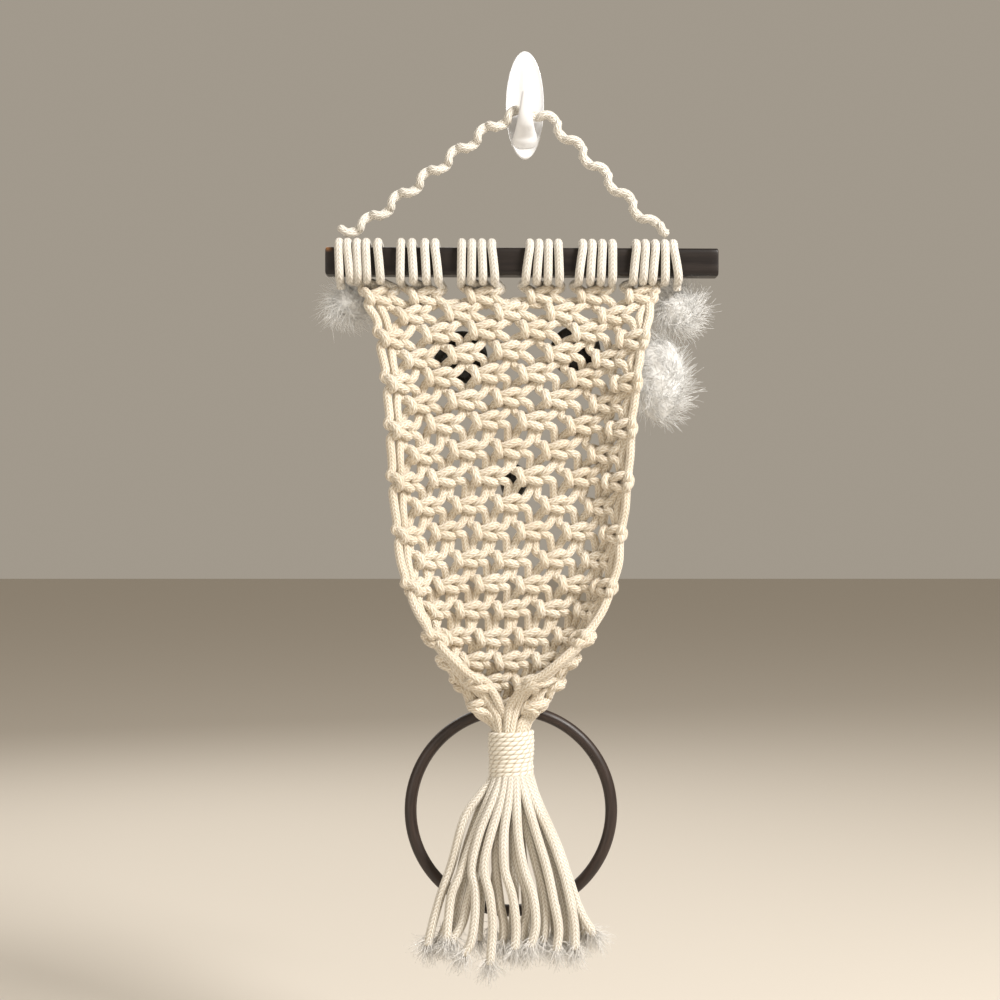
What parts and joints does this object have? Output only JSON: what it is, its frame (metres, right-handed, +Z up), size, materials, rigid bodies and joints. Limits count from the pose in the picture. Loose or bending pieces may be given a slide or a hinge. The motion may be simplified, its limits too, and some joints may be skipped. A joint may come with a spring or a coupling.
{
  "type": "macrame wall hanging on a square bar and small wall hook",
  "caption": "Knotted cord net hung from a square bar, its sides folded into a pouch above a wrapped tassel and ring, held by a small wall hook.",
  "frame": {"origin": "middle of the hook plate's flat back, on the wall", "axes": "+Z up along the hanging's length, +Y into the wall, +X to the right for somebody who faces the wall"},
  "size_m": [0.1782, 0.0401, 0.4212],
  "materials": {
    "cotton_cord": "cream-white braided cotton cord, matt with loose fibres",
    "hook_plastic": "white moulded plastic, satin gloss",
    "stained_wood": "very dark brown stained wood, satin, worn at one corner",
    "dark_ring": "dark brown stained and varnished round rod, satin gloss",
    "black_gloss": "black, satin gloss",
    "brushed_fibre": "greyish-white brushed-out cotton fibre"
  },
  "bodies": {
    "root": {"wall_hook": "hook_plastic", "bar": "stained_wood", "hanger": "cotton_cord", "loops_1": "cotton_cord", "loops_2": "cotton_cord", "loops_3": "cotton_cord", "loops_4": "cotton_cord", "loops_5": "cotton_cord", "loops_6": "cotton_cord", "net": "cotton_cord", "wrap": "cotton_cord", "tassel": "cotton_cord", "ring": "dark_ring", "disc_left": "black_gloss", "disc_right": "black_gloss", "bead": "black_gloss", "tuft_left": "brushed_fibre", "tuft_right": "brushed_fibre", "puff_right": "brushed_fibre"}
  },
  "joints": []
}
